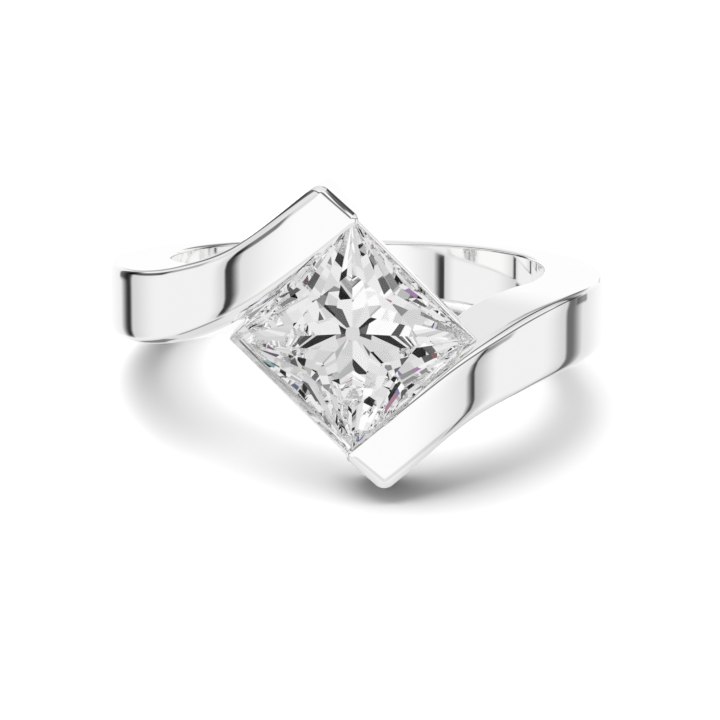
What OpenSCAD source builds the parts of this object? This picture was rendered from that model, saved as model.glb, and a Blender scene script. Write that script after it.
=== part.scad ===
// Bypass ring with a princess cut stone turned on its corner between two broad arms.
// The ring is drawn about its finger hole first: axis along Z, stone towards -Y.
// It is then laid down as it rests by itself, on the lower arm's tip and the back of the band.

/* [Finger hole] */
// Diameter of the finger hole
bore_d = 17; // [16.8:0.1:17.2]

/* [Band] */
// Radius of the round outer outline, seen along the finger hole
band_r = 11.1; // [11:0.05:11.2]
// How far the outer outline sits towards the stone
band_shift = 1.63; // [1.55:0.01:1.7]
// Radius under the arms' tips, where they lift off the finger
tip_under = 9.6; // [9.4:0.1:9.8]
// Rounding of the outer edges
edge_round = 0.24; // [0.2:0.01:0.3]
// Rounding of the arms' edges beside the stone, where it is widest
lip_round = 0.44; // [0.3:0.01:0.5]
// Rounding of the arms' end corners, seen from the front
corner_round = 0.45; // [0.35:0.05:0.5]
// Chamfer at the rim of the finger hole
rim_cut = 0.15; // [0.1:0.01:0.2]

/* [Stone] */
// Side of the square stone
stone_side = 7.15; // [7:0.05:7.2]
// Distance of the girdle from the ring's axis
girdle_y = 12.5; // [12.49:0.01:12.55]
// Thickness of the girdle
girdle_t = 0.12; // [0.1:0.01:0.13]
// Gap between stone and metal
stone_gap = 0.04; // [0.03:0.01:0.06]

/* [Rails] */
// How far each rail stands past the stone's side
rail_out = 0.12; // [0.1:0.01:0.16]
// Rounding of the rails' outer front edge
rail_round = 0.05; // [0.03:0.01:0.08]
// Depth of each rail, from the girdle backwards
rail_deep = 1.1; // [0.9:0.1:1.3]
// Depth of each rail's root, where it runs into the arm's side
root_deep = 2.3; // [2.2:0.05:2.5]

/* [Hidden] */

bore_r = bore_d / 2;

// Stations along one arm, from the middle of the band's back to the arm's tip.
// Columns: turn about the finger hole in degrees, rise of the centre line, half the width.
TURN = 0;
RISE = 1;
HALF = 2;
stations = [
    [0, 0, 1.38],
    [30, 0.06, 1.44],
    [60, 0.15, 1.54],
    [90, 0.26, 1.58],
    [110, 0.39, 1.56],
    [130, 0.57, 1.6],
    [145, 1.18, 1.58],
    [160, 2.63, 1.39],
    [178, 5.8, 1.22]
];
tip_turn = 178;
// The arms' ends lean this much more than their course
tip_lean = 10;
lean_from = 140;
// The edges beside the stone swell to their full rounding and shrink again before the tip
lip_from = 128;
lip_rise = 22;
lip_to = 176;
lip_fall = 16;
// The hole's wall is drawn this much too thick and then bored out true
bore_stock = 0.25;
lift_from = 132;

section_step = 3;
corner_steps = 3;
end_steps = 4;

// Facets as rises per unit of distance in from the near side and from the neighbour side.
// The half side of the stone is the unit. Every facet passes through a corner of the girdle.
crown_facets = [[0.6, 0], [0.42, 0.05], [0.3, 0.15]];
pavilion_facets = [[1.8, 0], [1.35, 0.13], [1.08, 0.24], [0.86, 0.355], [0.69, 0.475]];
table_rise = 0.2;
// A small flat at the point keeps the stone clear of the finger
point_depth = 1.094;

// Pose at rest: the front lifts onto the lower tip, with a slight roll to that tip's side
rest_tilt = 14.63;
rest_roll = -3.44;

// Smooth curve through a column of the stations, mirrored at the back of the band
last = len(stations) - 1;
function slot(t, i = 0) = i >= last - 1 || t < stations[i + 1][TURN] ? i : slot(t, i + 1);
function grade(i, col) =
    i == 0 ? (col == RISE ? (stations[1][col] - stations[0][col]) / stations[1][TURN] : 0)
    : let (a = stations[i - 1], b = stations[min(i + 1, last)], c = i == last ? stations[i - 1] : a)
      (b[col] - c[col]) / (b[TURN] - c[TURN]);
function curve(t, col) =
    let (i = slot(t), a = stations[i], b = stations[i + 1], w = b[TURN] - a[TURN], u = (t - a[TURN]) / w)
    (2 * u ^ 3 - 3 * u ^ 2 + 1) * a[col] + (u ^ 3 - 2 * u ^ 2 + u) * w * grade(i, col)
    + (3 * u ^ 2 - 2 * u ^ 3) * b[col] + (u ^ 3 - u ^ 2) * w * grade(i + 1, col);
function ease(u) = let (v = min(max(u, 0), 1)) v * v * (3 - 2 * v);

function rise(t) = sign(t) * curve(abs(t), RISE);
function half(t) = curve(abs(t), HALF);
// Outer wall and inner wall, measured from the ring's axis
function outer(t) = sqrt(band_r ^ 2 - (band_shift * sin(t)) ^ 2) - band_shift * cos(t);
function inner(t) =
    bore_r - bore_stock
    + (tip_under - bore_r + bore_stock) * ease((abs(t) - lift_from) / (180 - lift_from));
function course(t) = let (d = 0.5, a = min(abs(t), tip_turn - d))
    atan2(curve(a + d, RISE) - curve(max(a - d, 0), RISE),
          (d + min(a, d)) * PI / 180 * outer(a));
function lean(t) = course(t) + tip_lean * ease((abs(t) - lean_from) / (tip_turn - lean_from));

// A round of radius r takes this much off at a distance d from the end
function round_off(r, d) = d < r ? r - sqrt(r ^ 2 - (r - d) ^ 2) : 0;

// Point on the outer or inner wall at station t, with a the distance up the section
function strip_turn(t, a) = t - a * sin(lean(t)) / outer(t) * 180 / PI;
function wall_point(t, a, wall, inset) =
    let (s = strip_turn(t, a), r = (wall == "outer" ? outer(s) : inner(s)) + inset)
    [-r * sin(s), r * cos(s), rise(t) + a * cos(lean(t))];

// Rounding of the edge on one hand of the section, -1 below and 1 above
function edge_at(t, hand) =
    t * hand > 0 ? edge_round
    : edge_round + (lip_round - edge_round)
        * ease((abs(t) - lip_from) / lip_rise) * ease((lip_to - abs(t)) / lip_fall);

// One section: two rounded outer corners and two chamfered inner ones
function section(t, d) =
    let (h = half(t) - round_off(corner_round, d), f = edge_at(t, -1), g = edge_at(t, 1),
         off = round_off(edge_round, d), c = rim_cut + max(bore_r - inner(t), 0))
    concat(
        [for (k = [0:corner_steps]) let (q = 90 * k / corner_steps)
            wall_point(t, f - h - f * cos(q), "outer", f * sin(q) - f - off)],
        [for (k = [corner_steps:-1:0]) let (q = 90 * k / corner_steps)
            wall_point(t, h - g + g * cos(q), "outer", g * sin(q) - g - off)],
        [wall_point(t, h, "inner", c), wall_point(t, h - c, "inner", 0),
         wall_point(t, c - h, "inner", 0), wall_point(t, -h, "inner", c)]);

// Stations from tip to tip, closer together at the rounded ends
function back_off(d) = d * cos(course(tip_turn)) / outer(tip_turn) * 180 / PI;
end_rows = [for (k = [end_steps:-1:0])
    let (d = corner_round * (1 - sin(90 * k / end_steps))) [tip_turn - back_off(d), d]];
inner_end = end_rows[end_steps][0];
half_count = round(inner_end / section_step);
rows = concat(
    [for (k = [0:end_steps]) [-end_rows[k][0], end_rows[k][1]]],
    [for (k = [1 - half_count:half_count - 1]) [inner_end * k / half_count, corner_round]],
    [for (k = [end_steps:-1:0]) end_rows[k]]);
ring_len = 2 * corner_steps + 6;
strip_points = [for (row = rows) each section(row[0], row[1])];
strip_faces = concat(
    [for (i = [0:len(rows) - 2], j = [0:ring_len - 1])
        let (a = i * ring_len + j, b = i * ring_len + (j + 1) % ring_len) each
        [[a, b, b + ring_len], [a, b + ring_len, a + ring_len]]],
    [for (j = [1:ring_len - 2]) [0, j + 1, j]],
    [for (j = [1:ring_len - 2]) let (o = (len(rows) - 1) * ring_len) [o, o + j, o + j + 1]]);

// Laying the ring down: turn it, then centre it and stand its lowest point on the floor
function lay(p) =
    let (y = p[1] * cos(rest_tilt) + p[2] * sin(rest_tilt),
         z = p[2] * cos(rest_tilt) - p[1] * sin(rest_tilt))
    [p[0] * cos(rest_roll) + z * sin(rest_roll), y, z * cos(rest_roll) - p[0] * sin(rest_roll)];
half_side = stone_side / 2;
crown_h = table_rise * half_side;
// Corners of the table, where two facets of the last crown family meet it
table_reach = half_side * (1 - table_rise / (crown_facets[2][0] + crown_facets[2][1]));
table_points = [for (a = [0, 90, 180, 270]) let (q = table_reach * sqrt(2))
    [q * cos(a), -girdle_y - girdle_t / 2 - crown_h, q * sin(a)]];
laid = [for (p = concat(strip_points, table_points)) lay(p)];
x_all = [for (p = laid) p[0]];
y_all = [for (p = laid) p[1]];
z_all = [for (p = laid) p[2]];
seat = [-(min(x_all) + max(x_all)) / 2, -(min(y_all) + max(y_all)) / 2, -min(z_all)];

module at_rest() {
    translate(seat) rotate([0, rest_roll, 0]) rotate([-rest_tilt, 0, 0]) children();
}

// Everything on the inner side of one facet plane through the stone's corner
module facet_side(turn, rises, up) {
    g = rises[0];
    o = rises[1];
    steep = atan(sqrt(g ^ 2 + o ^ 2));
    tilt = up > 0 ? steep : 180 - steep;
    az = turn + atan2(o, g);
    far = 6 * stone_side;
    n = [sin(tilt) * cos(az), sin(tilt) * sin(az), cos(tilt)];
    c = half_side * [cos(turn) - sin(turn), sin(turn) + cos(turn), 0] + [0, 0, up * girdle_t / 2];
    reach = n * c;
    rotate([0, tilt, az]) translate([-far / 2, -far / 2, reach - far]) cube(far);
}

// Princess cut, table up, centred on its girdle
module princess() {
    intersection() {
        translate([-half_side, -half_side, -girdle_t / 2 - point_depth * half_side])
            cube([stone_side, stone_side, girdle_t + point_depth * half_side + crown_h]);
        for_facets(crown_facets, 1);
        for_facets(pavilion_facets, -1);
    }
}

// The common space of one family of facets, on four sides and mirrored about each side
module for_facets(family, up) {
    intersection_for(turn = [0, 90, 180, 270])
        intersection_for(f = family)
            intersection() {
                facet_side(turn, f, up);
                mirror([sin(turn), -cos(turn), 0]) facet_side(turn, f, up);
            }
}

// The stone in its place: table to the front, one corner up
module stone_seated() {
    translate([0, -girdle_y, 0]) rotate([90, 0, 0]) rotate([0, 0, 45]) children();
}

// A straight rail along one open side of the stone, from one arm's tip to the other arm.
// Its far end deepens into a root that meets the side of that arm.
module rail() {
    in_tip = 0.5;
    past_corner = 0.06;
    root_long = 0.75;
    root_set_back = 0.3;
    root_inset = 0.05;
    ledge = 0.3;
    top = girdle_t / 2;
    back = -half_side - past_corner;
    stone_seated() {
        translate([0, half_side + in_tip, 0]) rotate([90, 0, 0])
            linear_extrude(half_side + in_tip - back)
                polygon(concat(
                    [[half_side - ledge, top], [half_side - ledge, -rail_deep],
                     [half_side + rail_out, -rail_deep]],
                    [for (k = [0:3]) let (q = 30 * k)
                        [half_side + rail_out - rail_round * (1 - cos(q)),
                         top - rail_round * (1 - sin(q))]]));
        translate([half_side - root_long, back + root_inset, -root_deep])
            cube([root_long + rail_out - root_inset, root_long, root_deep - root_set_back]);
    }
}

// One casting: band, two arms, two rails, with the stone's pocket cut to leave a gap all round
module band() {
    color("gainsboro") at_rest() difference() {
        union() {
            difference() {
                polyhedron(strip_points, strip_faces, convexity = 6);
                cylinder(r = bore_r, h = 4 * band_r, center = true, $fn = 180);
            }
            rail();
            rotate([0, 180, 0]) rail();
        }
        stone_seated() scale(1 + stone_gap / half_side) princess();
    }
}

module stone() {
    color("aliceblue") at_rest() stone_seated() princess();
}

band();
stone();
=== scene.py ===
"""Looks of the bypass ring: polished band, princess cut stone, pale floor and a soft studio."""

import math

import bmesh
import bpy
import numpy as np
from mathutils import Matrix, Vector


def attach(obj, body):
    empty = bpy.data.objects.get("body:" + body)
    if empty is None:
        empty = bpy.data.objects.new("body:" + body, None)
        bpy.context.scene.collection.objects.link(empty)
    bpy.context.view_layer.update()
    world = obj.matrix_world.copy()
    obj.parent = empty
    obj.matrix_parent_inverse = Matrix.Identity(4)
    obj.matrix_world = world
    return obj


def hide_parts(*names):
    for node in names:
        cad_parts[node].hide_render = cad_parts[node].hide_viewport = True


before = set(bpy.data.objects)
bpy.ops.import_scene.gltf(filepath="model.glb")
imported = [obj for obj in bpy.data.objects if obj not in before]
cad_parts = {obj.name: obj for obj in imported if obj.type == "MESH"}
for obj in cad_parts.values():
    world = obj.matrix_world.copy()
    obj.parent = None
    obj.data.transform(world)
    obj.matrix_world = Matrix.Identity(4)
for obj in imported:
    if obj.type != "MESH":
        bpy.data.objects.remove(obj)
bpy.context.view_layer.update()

# Sizes in millimetres, as in the CAD source. The ring is drawn about its finger hole,
# axis along Z and stone towards -Y, and is then laid down at rest.
BORE_R = 8.5
BAND_R = 11.1
BAND_SHIFT = 1.63
TIP_UNDER = 9.6
EDGE_ROUND = 0.24
LIP_ROUND = 0.44
CORNER_ROUND = 0.45
RIM_ROUND = 0.18
STONE_SIDE = 7.15
GIRDLE_Y = 12.5
GIRDLE_T = 0.12
STONE_GAP = 0.04
RAIL_OUT = 0.12
RAIL_ROUND = 0.05
RAIL_DEEP = 1.1
ROOT_DEEP = 2.3
HALF_SIDE = STONE_SIDE / 2
# Rails: how far they reach into the arms' tips and past the stone's corner, their ledge under
# the stone, and the block at their far end that meets the side of an arm
RAIL_IN_TIP = 0.5
RAIL_PAST_CORNER = 0.06
RAIL_LEDGE = 0.3
ROOT_LONG = 0.75
ROOT_SET_BACK = 0.3
ROOT_INSET = 0.05
ROOT_ROUND = 0.03

# Stations along one arm: turn in degrees, rise of the centre line, half the width
STATIONS = [
    (0, 0, 1.38),
    (30, 0.06, 1.44),
    (60, 0.15, 1.54),
    (90, 0.26, 1.58),
    (110, 0.39, 1.56),
    (130, 0.57, 1.6),
    (145, 1.18, 1.58),
    (160, 2.63, 1.39),
    (178, 5.8, 1.22),
]
# A hair less than in the CAD, so that the drawn tips stay inside its box
TIP_TURN = 177.97
# Turn from which the sections lean, and how far they lean at the tip
LEAN_FROM = 140
TIP_LEAN = 10
# Turn from which the inner wall lifts, and how deep it lies inside the bore before that
LIFT_FROM = 132
BORE_STOCK = 0.25
# Softer edge beside the stone: turns where it starts and ends, and how long each change takes
LIP_FROM = 128
LIP_RISE = 22
LIP_TO = 176
LIP_FALL = 16

# Facets as rises per unit in from the near side and from the neighbour side, in half sides
CROWN_FACETS = [(0.6, 0), (0.42, 0.05), (0.3, 0.15)]
PAVILION_FACETS = [(1.8, 0), (1.35, 0.13), (1.08, 0.24), (0.86, 0.355), (0.69, 0.475)]
TABLE_RISE = 0.2
POINT_DEPTH = 1.094

REST_TILT = 14.63
REST_ROLL = -3.44


def ease(u):
    v = np.clip(u, 0, 1)
    return v * v * (3 - 2 * v)


def curve(t, col):
    """Smooth curve through one column of the stations, for turns of 0 and more."""
    ts = [s[0] for s in STATIONS]
    vs = [s[col] for s in STATIONS]
    n = len(ts) - 1
    grades = [(vs[1] - vs[0]) / ts[1] if col == 1 else 0.0]
    for i in range(1, n + 1):
        j = min(i + 1, n)
        grades.append((vs[j] - vs[i - 1]) / (ts[j] - ts[i - 1]))
    t = np.asarray(t, float)
    i = np.clip(np.searchsorted(ts, t, side="right") - 1, 0, n - 1)
    ts, vs, grades = np.array(ts, float), np.array(vs), np.array(grades)
    w = ts[i + 1] - ts[i]
    u = (t - ts[i]) / w
    return (
        (2 * u**3 - 3 * u**2 + 1) * vs[i]
        + (u**3 - 2 * u**2 + u) * w * grades[i]
        + (3 * u**2 - 2 * u**3) * vs[i + 1]
        + (u**3 - u**2) * w * grades[i + 1]
    )


def rise(t):
    """Height of the centre line, which climbs one way on one arm and falls on the other."""
    return np.sign(t) * curve(np.abs(t), 1)


def half(t):
    return curve(np.abs(t), 2)


def outer(t):
    """Distance of the outer wall from the bore's axis: a circle set off towards the stone's back."""
    a = np.radians(t)
    return np.sqrt(BAND_R**2 - (BAND_SHIFT * np.sin(a)) ** 2) - BAND_SHIFT * np.cos(a)


def inner(t):
    """Distance of the inner wall, which lifts off the finger beside the stone."""
    lift = ease((np.abs(t) - LIFT_FROM) / (180 - LIFT_FROM))
    return np.maximum(BORE_R, BORE_R - BORE_STOCK + (TIP_UNDER - BORE_R + BORE_STOCK) * lift)


def edge_at(t, hand):
    """Rounding of the edge on one hand of the section, -1 below and 1 above."""
    if t * hand > 0:
        return EDGE_ROUND
    swell = ease((abs(t) - LIP_FROM) / LIP_RISE) * ease((LIP_TO - abs(t)) / LIP_FALL)
    return float(EDGE_ROUND + (LIP_ROUND - EDGE_ROUND) * swell)


def course(t):
    """Climb of the centre line in degrees."""
    a = np.minimum(np.abs(t), TIP_TURN - 0.5)
    b = np.maximum(a - 0.5, 0)
    run = np.radians(a + 0.5 - b) * outer(t)
    return np.degrees(np.arctan2(curve(a + 0.5, 1) - curve(b, 1), run))


def lean(t):
    """Lean of a section from upright, in degrees."""
    return course(t) + TIP_LEAN * ease((np.abs(t) - LEAN_FROM) / (TIP_TURN - LEAN_FROM))


def on_strip(t, a, wall, inset):
    """Point at station t, a up the section, on the outer or inner wall moved out by inset."""
    s = t - np.degrees(a * np.sin(np.radians(lean(t))) / outer(t))
    r = (outer(s) if wall == "outer" else inner(s)) + inset
    z = rise(t) + a * np.cos(np.radians(lean(t)))
    q = np.radians(s)
    return (-r * np.sin(q), r * np.cos(q), z)


def back_off(d):
    """Turn in degrees that takes a station d mm back from the tip."""
    run = d * math.cos(math.radians(float(course(TIP_TURN))))
    return math.degrees(run / float(outer(TIP_TURN)))


# Rows run from one tip to the other. A row in a rounded corner has an angle phi,
# 90 degrees at the very end and 0 where the straight sides begin.
CORNER_STEPS = 12
ROW_STEP = 1.2
INNER_END = TIP_TURN - back_off(CORNER_ROUND)
ROW_COUNT = 2 * round(INNER_END / ROW_STEP)
ROWS = (
    [(-1, 90 * (CORNER_STEPS - k) / CORNER_STEPS, None) for k in range(CORNER_STEPS + 1)]
    + [(0, 0, INNER_END * (2 * k / ROW_COUNT - 1)) for k in range(1, ROW_COUNT)]
    + [(1, 90 * k / CORNER_STEPS, None) for k in range(CORNER_STEPS + 1)]
)


def plan(row, d, hand=1):
    """Station and half width of the strip's outline at one row, drawn in by d edge roundings."""
    end, phi, t = row
    if not end:
        return t, float(half(t)) - d * edge_at(t, hand)
    d *= EDGE_ROUND
    q = math.radians(phi)
    e = CORNER_ROUND - (CORNER_ROUND - d) * math.sin(q)
    t = end * (TIP_TURN - back_off(e))
    return t, float(half(t)) - CORNER_ROUND + (CORNER_ROUND - d) * math.cos(q)


# Columns across a face, closer together along each border
EDGE_COLUMNS = [0.99, 0.975, 0.955, 0.93, 0.9, 0.86, 0.82, 0.76]
MID_COLUMNS = [0.12 * k for k in range(-5, 6)]
COLUMNS = [-1] + [-c for c in EDGE_COLUMNS] + MID_COLUMNS + EDGE_COLUMNS[::-1] + [1]
# The outer face falls away a hair towards its border, as polishing leaves it
SHOULDER = 0.5
SHOULDER_DROP = 0.03

# Border profile from the outer face round its edge, down the side and round the inner rim:
# distance in from the side, wall, distance out from the wall. On the outer wall both are in
# edge roundings, and on the inner wall in rim roundings.
FILLET_STEPS = 8
FILLET_START = math.radians(80)
RIM_STEPS = 5
# The flat side starts and ends a little beyond the roundings
SIDE_FROM = -1.1
SIDE_TO = 1.15
fillet = [FILLET_START * (FILLET_STEPS - k) / FILLET_STEPS for k in range(FILLET_STEPS + 1)]
fillet_in, fillet_down = 1 - math.cos(FILLET_START), math.sin(FILLET_START)
PROFILE = (
    [((1 - math.cos(q)) / fillet_in, "outer", math.sin(q) / fillet_down - 1) for q in fillet]
    + [(0, "outer", SIDE_FROM), (0, "inner", SIDE_TO)]
    + [
        (1 - math.cos(q), "inner", 1 - math.sin(q))
        for q in [math.radians(90 * k / RIM_STEPS) for k in range(RIM_STEPS + 1)]
    ]
)


def border_point(row, step, hand, u=1.0):
    """Place on the border loop at one row: station, distance up the section, wall, inset."""
    d, wall, inset = PROFILE[step]
    end, phi, t = row
    if wall == "outer":
        size = EDGE_ROUND if end else edge_at(t, hand)
        t, w = plan(row, d, hand)
        if inset >= -1:
            return t, hand * w * u, wall, -SHOULDER_DROP + inset * (size - SHOULDER_DROP)
        return t, hand * w * u, wall, inset * size
    if end:
        t, w = plan(row, d * RIM_ROUND / EDGE_ROUND)
    else:
        w = float(half(t)) - d * RIM_ROUND
    return t, hand * w * u, wall, inset * RIM_ROUND


def shoulder(row, reach):
    """How far the outer face has fallen at a row, reach mm in from its nearer side."""
    end, phi, t = row
    room = CORNER_ROUND - EDGE_ROUND
    if end:
        from_end = room * (1 - math.sin(math.radians(phi)))
    else:
        t = abs(t)
        run = math.radians(INNER_END - t) * float(outer(t))
        from_end = room + run / math.cos(math.radians(float(course(t))))
    return SHOULDER_DROP * max(0.0, 1 - min(reach, from_end) / SHOULDER) ** 3


def strip_mesh():
    """The bypass strip as one closed mesh: two faces, and a rounded border joining them."""
    verts, faces = [], []

    def add(place):
        verts.append([float(c) for c in on_strip(*place)])
        return len(verts) - 1

    def face_grid(step):
        grid = []
        for row in ROWS:
            t, low, wall, inset = border_point(row, step, -1)
            high = border_point(row, step, 1)[1]
            line = []
            for u in COLUMNS:
                if wall == "outer":
                    inset = -shoulder(row, (high - low) / 2 * (1 - abs(u)))
                line.append(add((t, (low + high) / 2 + (high - low) / 2 * u, wall, inset)))
            grid.append(line)
        return grid

    first, last = face_grid(0), face_grid(-1)
    for grid, flip in ((first, False), (last, True)):
        for i in range(len(ROWS) - 1):
            for j in range(len(COLUMNS) - 1):
                quad = [grid[i][j], grid[i + 1][j], grid[i + 1][j + 1], grid[i][j + 1]]
                faces.append(quad[::-1] if flip else quad)

    def border_of(grid):
        down, up = [r[0] for r in grid], [r[-1] for r in reversed(grid)]
        return down + grid[-1][1:-1] + up + grid[0][-2:0:-1]

    def border_at(step):
        loop = [border_point(r, step, -1) for r in ROWS]
        loop += [border_point(ROWS[-1], step, 1, u) for u in COLUMNS[1:-1]]
        loop += [border_point(r, step, 1) for r in reversed(ROWS)]
        loop += [border_point(ROWS[0], step, 1, u) for u in COLUMNS[-2:0:-1]]
        return [add(place) for place in loop]

    between = [border_at(k) for k in range(1, len(PROFILE) - 1)]
    loops = [border_of(first)] + between + [border_of(last)]
    n = len(loops[0])
    for p, q in zip(loops, loops[1:]):
        for i in range(n):
            faces.append([p[i], q[i], q[(i + 1) % n], p[(i + 1) % n]])
    return verts, faces


def convex_solid(planes, size):
    """A solid from planes given as (normal, distance): a block cut by each in turn."""
    bm = bmesh.new()
    bmesh.ops.create_cube(bm, size=2 * size)
    for normal, reach in planes:
        n = Vector(normal).normalized()
        k = reach / Vector(normal).length
        everything = bm.verts[:] + bm.edges[:] + bm.faces[:]
        cut = bmesh.ops.bisect_plane(
            bm, geom=everything, plane_co=n * k, plane_no=n, clear_outer=True, dist=1e-7
        )
        rim = [g for g in cut["geom_cut"] if isinstance(g, bmesh.types.BMEdge)]
        if rim:
            bmesh.ops.contextual_create(bm, geom=rim)
    bmesh.ops.remove_doubles(bm, verts=bm.verts, dist=1e-6)
    return bm


def princess_planes():
    """Facet planes of the stone, table up, centred on its girdle."""
    h, top = HALF_SIDE, GIRDLE_T / 2
    planes = [((0, 0, 1), top + TABLE_RISE * h), ((0, 0, -1), top + POINT_DEPTH * h)]
    for k in range(4):
        a = math.radians(90 * k)
        n = np.array([math.cos(a), math.sin(a)])
        side = np.array([-math.sin(a), math.cos(a)])
        planes.append(((n[0], n[1], 0), h))
        for family, up in ((CROWN_FACETS, 1), (PAVILION_FACETS, -1)):
            for g, o in family:
                for hand in (1, -1):
                    m = g * n + hand * o * side
                    corner = h * (n + hand * side)
                    planes.append(((m[0], m[1], up), float(m @ corner) + top))
    return planes


def seated():
    """From the stone's own axes to the ring's: table to the front, one corner up."""
    return (
        Matrix.Translation((0, -GIRDLE_Y, 0))
        @ Matrix.Rotation(math.radians(90), 4, "X")
        @ Matrix.Rotation(math.radians(45), 4, "Z")
    )


def new_object(name, bm):
    mesh = bpy.data.meshes.new(name)
    bm.normal_update()
    bm.to_mesh(mesh)
    bm.free()
    obj = bpy.data.objects.new(name, mesh)
    bpy.context.scene.collection.objects.link(obj)
    return obj


def block(low, high, bevel):
    """An edge-rounded block between two corners."""
    bm = bmesh.new()
    bmesh.ops.create_cube(bm, size=1)
    low, high = Vector(low), Vector(high)
    for v in bm.verts:
        v.co = Vector([low[i] + (v.co[i] + 0.5) * (high[i] - low[i]) for i in range(3)])
    bmesh.ops.bevel(bm, geom=bm.edges[:], offset=bevel, segments=6, profile=0.5, affect="EDGES")
    return bm


def combine(obj, other, operation):
    """Boolean of two objects, applied to the first one's mesh. The second is used up."""
    mod = obj.modifiers.new("combine", "BOOLEAN")
    mod.operation = operation
    mod.solver = "EXACT"
    mod.object = other
    depsgraph = bpy.context.evaluated_depsgraph_get()
    mesh = bpy.data.meshes.new_from_object(obj.evaluated_get(depsgraph))
    obj.modifiers.clear()
    obj.data = mesh
    bpy.data.objects.remove(other)


# The band: strip, rails and pocket
verts, faces = strip_mesh()
band_mesh = bpy.data.meshes.new("band_strip")
band_mesh.from_pydata(verts, [], faces)
bm = bmesh.new()
bm.from_mesh(band_mesh)
bmesh.ops.recalc_face_normals(bm, faces=bm.faces[:])
band = new_object("band_polished", bm)

h = HALF_SIDE
root_back = -h - RAIL_PAST_CORNER + ROOT_INSET
RAIL_BLOCKS = [
    (
        (h - RAIL_LEDGE, -h - RAIL_PAST_CORNER, -RAIL_DEEP),
        (h + RAIL_OUT, h + RAIL_IN_TIP, GIRDLE_T / 2),
        RAIL_ROUND,
    ),
    (
        (h - ROOT_LONG, root_back, -ROOT_DEEP),
        (h + RAIL_OUT - ROOT_INSET, -h + ROOT_LONG, -ROOT_SET_BACK),
        ROOT_ROUND,
    ),
]
for half_turn in (0, 180):
    for low, high, bevel in RAIL_BLOCKS:
        bm = block(low, high, bevel)
        bm.transform(Matrix.Rotation(math.radians(half_turn), 4, "Y") @ seated())
        combine(band, new_object("rail", bm), "UNION")

bm = convex_solid(princess_planes(), 4 * STONE_SIDE)
for v in bm.verts:
    v.co *= 1 + STONE_GAP / HALF_SIDE
bm.transform(seated())
combine(band, new_object("pocket", bm), "DIFFERENCE")

bm = convex_solid(princess_planes(), 4 * STONE_SIDE)
bm.transform(seated())
stone = new_object("stone_princess", bm)

# Lay both down, and stand them on the floor where the CAD does
lay = Matrix.Rotation(math.radians(REST_ROLL), 4, "Y") @ Matrix.Rotation(math.radians(-REST_TILT), 4, "X")
points = []
for obj in (band, stone):
    obj.data.transform(lay)
    points += [v.co for v in obj.data.vertices]
low, high = np.min(points, axis=0), np.max(points, axis=0)
seat = Vector((-(low[0] + high[0]) / 2, -(low[1] + high[1]) / 2, -low[2]))
place = Matrix.Scale(0.001, 4) @ Matrix.Translation(seat)
for obj in (band, stone):
    obj.data.transform(place)
to_world = place @ lay

# The roundings are shaded smooth, and edges that turn by more than this stay crisp
CRISP_ANGLE = 28
for polygon in band.data.polygons:
    polygon.use_smooth = True
band.data.set_sharp_from_angle(angle=math.radians(CRISP_ANGLE))


def material(name):
    mat = bpy.data.materials.new(name)
    mat.use_nodes = True
    return mat, mat.node_tree.nodes, mat.node_tree.links


# Polished white gold: a mirror with faint polishing swirls
gold, nodes, links = material("white_gold_polished")
shader = nodes["Principled BSDF"]
shader.inputs["Base Color"].default_value = (0.98, 0.98, 0.975, 1)
shader.inputs["Metallic"].default_value = 1
where = nodes.new("ShaderNodeTexCoord")
fine = nodes.new("ShaderNodeTexNoise")
fine.inputs["Scale"].default_value = 900
fine.inputs["Detail"].default_value = 6
links.new(where.outputs["Object"], fine.inputs["Vector"])
spread = nodes.new("ShaderNodeMapRange")
spread.inputs["From Min"].default_value = 0.3
spread.inputs["From Max"].default_value = 0.7
spread.inputs["To Min"].default_value = 0.02
spread.inputs["To Max"].default_value = 0.06
links.new(fine.outputs["Fac"], spread.inputs["Value"])
links.new(spread.outputs["Result"], shader.inputs["Roughness"])
band.data.materials.clear()
band.data.materials.append(gold)

# Diamond: clear, strongly refracting, flat facets. The low tint dims its partial reflections,
# which keeps the dark facets dark.
diamond, nodes, links = material("diamond_clear")
shader = nodes["Principled BSDF"]
shader.inputs["Base Color"].default_value = (1, 1, 1, 1)
shader.inputs["Roughness"].default_value = 0
shader.inputs["IOR"].default_value = 2.42
shader.inputs["Specular Tint"].default_value = (0.12, 0.12, 0.12, 1)
shader.inputs["Transmission Weight"].default_value = 1
stone.data.materials.clear()
stone.data.materials.append(diamond)

# Floor, which neither the metal nor the stone mirrors
bm = bmesh.new()
bmesh.ops.create_grid(bm, x_segments=1, y_segments=1, size=1.5)
floor = new_object("floor", bm)
paper, nodes, links = material("floor_paper")
shader = nodes["Principled BSDF"]
shader.inputs["Base Color"].default_value = (0.92, 0.92, 0.92, 1)
shader.inputs["Roughness"].default_value = 0.9
floor.data.materials.append(paper)
floor.visible_glossy = False
floor.visible_transmission = False


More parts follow.
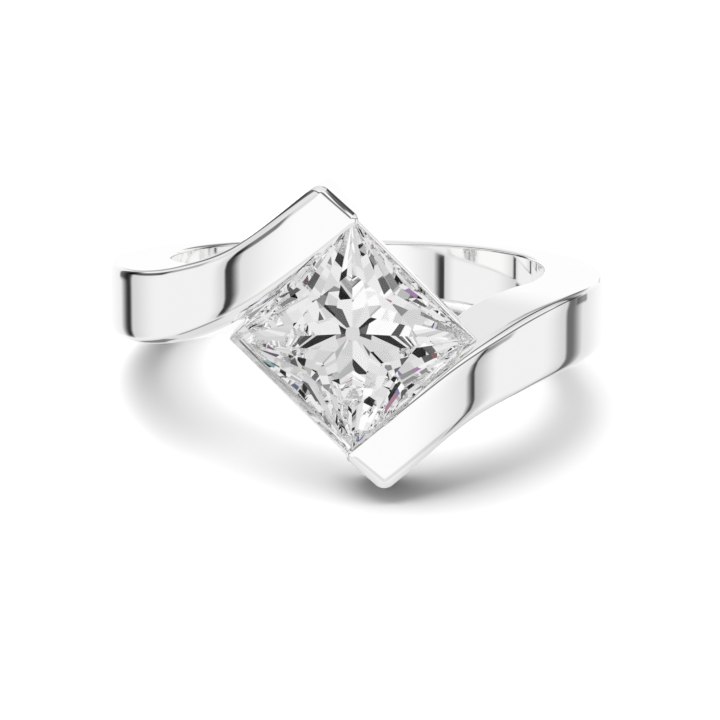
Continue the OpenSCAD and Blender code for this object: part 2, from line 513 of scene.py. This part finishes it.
class Shade:
    """Small helper that chains shader nodes in one tree."""

    def __init__(self, tree):
        self.nodes, self.links = tree.nodes, tree.links

    def put(self, node, *values):
        for i, v in enumerate(values):
            if isinstance(v, (int, float)):
                node.inputs[i].default_value = v
            else:
                self.links.new(v, node.inputs[i])
        return node.outputs[0]

    def maths(self, operation, *values):
        node = self.nodes.new("ShaderNodeMath")
        node.operation = operation
        return self.put(node, *values)

    def times(self, first, *others):
        for other in others:
            first = self.maths("MULTIPLY", first, other)
        return first

    def dimmed(self, light, drop):
        return self.times(light, self.maths("SUBTRACT", 1.0, drop))

    def ease(self, value, x0, x1, y0, y1):
        """Smooth step from y0 at x0 to y1 at x1."""
        node = self.nodes.new("ShaderNodeMapRange")
        node.interpolation_type = "SMOOTHSTEP"
        flip = x0 > x1
        lo, hi = (x1, x0) if flip else (x0, x1)
        return self.put(node, value, lo, hi, y1 if flip else y0, y0 if flip else y1)

    def window(self, value, start, full, fade, end, strength=1):
        """Rises from 0 at start to its strength at full, and falls from fade to 0 at end."""
        return self.times(self.ease(value, start, full, 0, strength), self.ease(value, fade, end, 1, 0))

    def directions(self, radius):
        """Position on a sphere round the ring: its coordinates, degrees from the front, degrees up."""
        split = self.nodes.new("ShaderNodeSeparateXYZ")
        self.links.new(self.nodes.new("ShaderNodeTexCoord").outputs["Object"], split.inputs[0])
        x, y, z = split.outputs
        turned = self.times(self.maths("ARCTAN2", x, self.times(y, -1.0)), 180 / math.pi)
        climb = self.times(self.maths("ARCSINE", self.maths("DIVIDE", z, radius)), 180 / math.pi)
        return x, y, z, turned, climb


def card_sphere(name, radius, centre):
    """A glowing sphere about a point in the ring's axes, its shading helper and its glow."""
    bm = bmesh.new()
    bmesh.ops.create_uvsphere(bm, u_segments=64, v_segments=32, radius=radius)
    obj = new_object(name, bm)
    obj.matrix_world = Matrix.Translation(to_world @ Vector(centre)) @ lay
    mat, nodes, links = material(name)
    nodes.clear()
    glow = nodes.new("ShaderNodeEmission")
    links.new(glow.outputs[0], nodes.new("ShaderNodeOutputMaterial").inputs["Surface"])
    obj.data.materials.append(mat)
    obj.visible_camera = False
    obj.visible_diffuse = False
    obj.visible_shadow = False
    obj.visible_volume_scatter = False
    return obj, Shade(mat.node_tree), glow


# The cards that the metal mirrors: pale all round, told by the direction from the ring.
# Levels in front, at the sides and behind, and the degrees between which they change.
CARDS_R = 0.12
FRONT, SIDES, BACK = 0.99, 0.9, 0.995
FRONT_TO_SIDES = (35, 62)
SIDES_TO_BACK = (115, 150)
# High and low the cards are a little dimmer
OUTER_DIM = 0.83
OUTER_FROM = (18, 30)
# Dark gaps between the cards: middle in degrees from the front, darkest level; for the left and
# then the right side the flat part, its edge, the level beside it and where that fades out; and
# the heights from which a gap starts, is full, is full no more and ends
GAPS = [
    (-125.0, 0.04, (1, 14, 0.86, 35), (0.5, 6, 0.72, 27), (-21, -14, 13, 20)),
    (-56.5, 0.05, (0.8, 2.8, 0.74, 10), (1, 8.5, 0.8, 34), (-24, -16, 3, 7)),
    (52.5, 0.06, (0, 5, 0.82, 32), (0.2, 2.2, 0.56, 13), (-30, -20, 4, 8)),
    (111.5, 0.17, (0.5, 5, 0.73, 20), (2, 18, 0.82, 50), (-50, -36, 28, 45)),
]
# Dark gaps overhead, along the ring's front to back: side angle up from the right, how much
# more at the front, half the flat part, edge, then drops at the front, the middle and the back
ROOF_GAPS = [
    (49.0, 5.0, 3.5, 6.5, (0.85, 0.93, 0.75)),
    (143.0, 0.0, 4.0, 7.0, (0.8, 0.94, 0.5)),
]
# The same runs in shares of the sphere's radius, from front to back: where the gap bends,
# where its drop goes over to the middle's and to the back's, and where it starts and ends
ROOF_BEND = (-0.85, -0.55)
ROOF_FRONT = (-0.45, -0.1)
ROOF_BACK = (0.15, 0.6)
ROOF_ENDS = (-0.97, -0.9, 0.82, 0.92)
# Dim patches: from and to round the ring, soft edge, from and to in height, soft edge, drop
PATCHES = [
    (-126, -100, 6, 5.5, 15, 3, 0.85),
    (-100, -78, 6, 7.5, 14, 3, 0.55),
    (118, 158, 10, 26, 62, 8, 0.5),
    (-16, 112, 8, 8.5, 11.5, 2.5, 0.8),
    (-20, 0, 5, 11, 16, 2.5, 0.5),
    (52, 66, 5, -1, 3, 3, 0.5),
    (90, 150, 8, 66, 76, 4, 0.35),
    (100, 122, 6, 10, 15, 2.5, 0.6),
    (-54, -38, 6, 0.5, 5, 2, 0.75),
    (-38, -22, 5, 3, 6, 2, 0.25),
    (-70, -26, 6, 8, 22, 3, 0.18),
    (-142, -100, 6, -48, -34, 4, 0.7),
    (-80, -55, 6, -29.5, -26.5, 2, 0.55),
    (-55, 45, 6, -22, -18, 2, 0.22),
    (167, 181, 4, -22.5, -18.5, 2, 0.65),
    (153, 159, 1.5, 6.8, 9.5, 0.8, 0.4),
    (119, 128, 2.5, -4.5, 4, 2.5, 0.62),
    (-135.5, -128, 3, -3, 19, 4, 0.8),
]


def light_cards():
    """What the metal alone sees."""
    obj, shade, glow = card_sphere("light_cards", CARDS_R, (0, 0, 0))
    x, y, z, turned, climb = shade.directions(CARDS_R)
    wide = shade.maths("ABSOLUTE", turned)
    light = shade.times(
        shade.ease(wide, *FRONT_TO_SIDES, FRONT, SIDES),
        shade.ease(wide, *SIDES_TO_BACK, 1, BACK / SIDES),
        shade.ease(shade.maths("ABSOLUTE", climb), *OUTER_FROM, 1, OUTER_DIM),
    )
    for middle, dark, left, right, heights in GAPS:
        flat_l, edge_l, level_l, far_l = left
        flat_r, edge_r, level_r, far_r = right
        off = shade.maths("SUBTRACT", turned, middle)
        core = shade.window(off, -edge_l, -flat_l, flat_r, edge_r)
        fade_l = shade.ease(off, -far_l, -flat_l, 0, 1 - level_l)
        fade_r = shade.ease(off, flat_r, far_r, 1 - level_r, 0)
        fade_l = shade.times(fade_l, shade.maths("LESS_THAN", off, 0.0))
        fade_r = shade.times(fade_r, shade.maths("GREATER_THAN", off, 0.0))
        drop = shade.maths("MAXIMUM", shade.times(core, 1 - dark), shade.maths("ADD", fade_l, fade_r))
        light = shade.dimmed(light, shade.times(drop, shade.window(climb, *heights)))
    for left, right, side_soft, low, high, soft, drop in PATCHES:
        across = shade.window(turned, left - side_soft, left, right, right + side_soft, drop)
        upright = shade.window(climb, low - soft, low, high, high + soft)
        light = shade.dimmed(light, shade.times(across, upright))
    aside = shade.times(shade.maths("ARCTAN2", z, x), 180 / math.pi)
    along = shade.maths("DIVIDE", y, CARDS_R)
    for middle, more, flat, edge, (front, centre, behind) in ROOF_GAPS:
        line = shade.ease(along, *ROOF_BEND, middle + more, middle)
        off = shade.maths("ABSOLUTE", shade.maths("SUBTRACT", aside, line))
        strength = shade.ease(along, *ROOF_FRONT, front, centre)
        strength = shade.maths("ADD", strength, shade.ease(along, *ROOF_BACK, 0, behind - centre))
        drop = shade.times(shade.ease(off, flat, edge, 1, 0), strength, shade.window(along, *ROOF_ENDS))
        light = shade.dimmed(light, drop)
    shade.links.new(light, glow.inputs["Strength"])
    obj.visible_transmission = False


# The cards that light the stone from within: patches by chance, set by a scale and a shift.
# Share of the patches below each step in brightness, and the step.
SPARKLE_R = 0.11
SPARKLE_SCALE = 9.0
SPARKLE_SHIFT = (2.5, 9.1, 4.4)
SPARKLE_STEPS = [(0.17, 0.1), (0.3, 0.15), (0.42, 0.2), (0.54, 0.2), (0.66, 0.19)]
# Bright cards straight ahead, a low broad pair of wings beside them and one straight behind,
# in degrees round and up, with their least level and how much more it may be
AHEAD_ROUND, AHEAD_UP = (12.5, 13), (-75, -74)
WINGS_ROUND, WINGS_UP = (35, 36), (13, 14)
BEHIND_ROUND = (168, 170)
BRIGHT_LEVEL, BRIGHT_SPREAD = 0.6, 0.26
# A dark gap low on either side of the front, for the stone's star
STAR_ROUND, STAR_UP = (23, 24, 30, 31), (-29, -28, -20.2, -19.6)
# Fire: share of the patches without colour, how much dimmer the others are, and their colour
FIRE_FROM, FIRE_DROP, FIRE_SATURATION = (0.9, 0.91), 0.55, 0.5
HUE_START, HUE_SPAN, HUE_SPIN = 0.5, 0.6, 7.0


def sparkle_cards():
    """What the stone alone sees: pale and dark patches all round."""
    obj, shade, glow = card_sphere("sparkle_cards", SPARKLE_R, (0, -GIRDLE_Y, 0))
    nodes, links = shade.nodes, shade.links
    shift = nodes.new("ShaderNodeMapping")
    shift.inputs["Location"].default_value = SPARKLE_SHIFT
    shift.inputs["Scale"].default_value = [SPARKLE_SCALE / SPARKLE_R] * 3
    links.new(nodes.new("ShaderNodeTexCoord").outputs["Object"], shift.inputs["Vector"])
    cells = nodes.new("ShaderNodeTexVoronoi")
    cells.inputs["Scale"].default_value = 1
    links.new(shift.outputs[0], cells.inputs["Vector"])
    split = nodes.new("ShaderNodeSeparateColor")
    links.new(cells.outputs["Color"], split.inputs[0])
    pick, tint, other = split.outputs
    level = 0.0
    for start, step in SPARKLE_STEPS:
        level = shade.maths("ADD", level, shade.ease(pick, start, start + 0.01, 0, step))
    turned, climb = shade.directions(SPARKLE_R)[3:]
    wide, steep = shade.maths("ABSOLUTE", turned), shade.maths("ABSOLUTE", climb)
    ahead = shade.times(shade.ease(wide, *AHEAD_ROUND, 1, 0), shade.ease(climb, *AHEAD_UP, 0, 1))
    wings = shade.times(shade.ease(wide, *WINGS_ROUND, 1, 0), shade.ease(steep, *WINGS_UP, 1, 0))
    bright = shade.maths("MAXIMUM", ahead, wings)
    bright = shade.maths("MAXIMUM", bright, shade.ease(wide, *BEHIND_ROUND, 0, 1))
    least = shade.times(bright, shade.maths("MULTIPLY_ADD", pick, BRIGHT_SPREAD, BRIGHT_LEVEL))
    level = shade.maths("MAXIMUM", level, least)
    level = shade.dimmed(level, shade.times(shade.window(wide, *STAR_ROUND), shade.window(climb, *STAR_UP)))
    vivid = shade.dimmed(shade.ease(tint, *FIRE_FROM, 0, 1), bright)
    level = shade.dimmed(level, shade.times(vivid, FIRE_DROP))
    colour = nodes.new("ShaderNodeCombineColor")
    colour.mode = "HSV"
    spin = shade.maths("FRACT", shade.times(other, HUE_SPIN))
    hue = shade.maths("FRACT", shade.maths("MULTIPLY_ADD", spin, HUE_SPAN, HUE_START))
    shade.put(colour, hue, shade.times(vivid, FIRE_SATURATION), level)
    links.new(colour.outputs[0], glow.inputs["Color"])
    obj.visible_glossy = False


light_cards()
sparkle_cards()

# Plain white surroundings and one large soft lamp, for the floor and the ring's shadow on it
world = bpy.data.worlds.new("studio")
bpy.context.scene.world = world
world.use_nodes = True
background = world.node_tree.nodes["Background"]
background.inputs["Color"].default_value = (1, 1, 1, 1)
background.inputs["Strength"].default_value = 0.65

lamp = bpy.data.lights.new("softbox_top", "AREA")
lamp.shape = "SQUARE"
lamp.size = 0.34
lamp.energy = 1.15
softbox = bpy.data.objects.new("softbox_top", lamp)
softbox.location = (-0.055, 0.07, 0.2)
softbox.rotation_euler = (-softbox.location).to_track_quat("-Z", "Y").to_euler()
softbox.visible_glossy = False
softbox.visible_transmission = False
bpy.context.scene.collection.objects.link(softbox)

# Camera, placed from the ring's own axes: a little above its middle plane, nearly head on.
# Distance in millimetres, focal length in pixels of the square frame, and the point of the
# frame where the ring's centre stands.
CAM_UP = 9.57
CAM_SIDE = -1.0
CAM_FAR = 150
CAM_PIXELS = 3279
FRAME_PIXELS = 720
CENTRE_PX = (357.5, 294.6)
e, s = math.radians(CAM_UP), math.radians(CAM_SIDE)
back = Vector((-math.sin(s) * math.cos(e), -math.cos(s) * math.cos(e), math.sin(e)))
right = Vector((math.cos(s), -math.sin(s), 0))
above = back.cross(right)
aside = (CENTRE_PX[0] - FRAME_PIXELS / 2) / CAM_PIXELS * CAM_FAR
higher = -(CENTRE_PX[1] - FRAME_PIXELS / 2) / CAM_PIXELS * CAM_FAR
stand = CAM_FAR * back - aside * right - higher * above
camera_data = bpy.data.cameras.new("camera")
camera_data.sensor_width = 36
camera_data.lens = CAM_PIXELS / FRAME_PIXELS * camera_data.sensor_width
camera_data.clip_start = 0.01
camera = bpy.data.objects.new("camera", camera_data)
axes = lay.to_3x3() @ Matrix((right, above, back)).transposed()
camera.matrix_world = Matrix.Translation(to_world @ stand) @ axes.to_4x4()
bpy.context.scene.collection.objects.link(camera)
bpy.context.scene.camera = camera

scene = bpy.context.scene
scene.view_settings.view_transform = "Standard"
# Light crosses the stone many times before it leaves. The floor is lit directly alone, so that
# the cards' light, thrown down by the metal, doesn't fill the ring's shadow.
scene.cycles.max_bounces = 40
scene.cycles.diffuse_bounces = 0
scene.cycles.glossy_bounces = 32
scene.cycles.transmission_bounces = 40

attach(band, "root")
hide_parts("band")
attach(stone, "root")
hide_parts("stone")
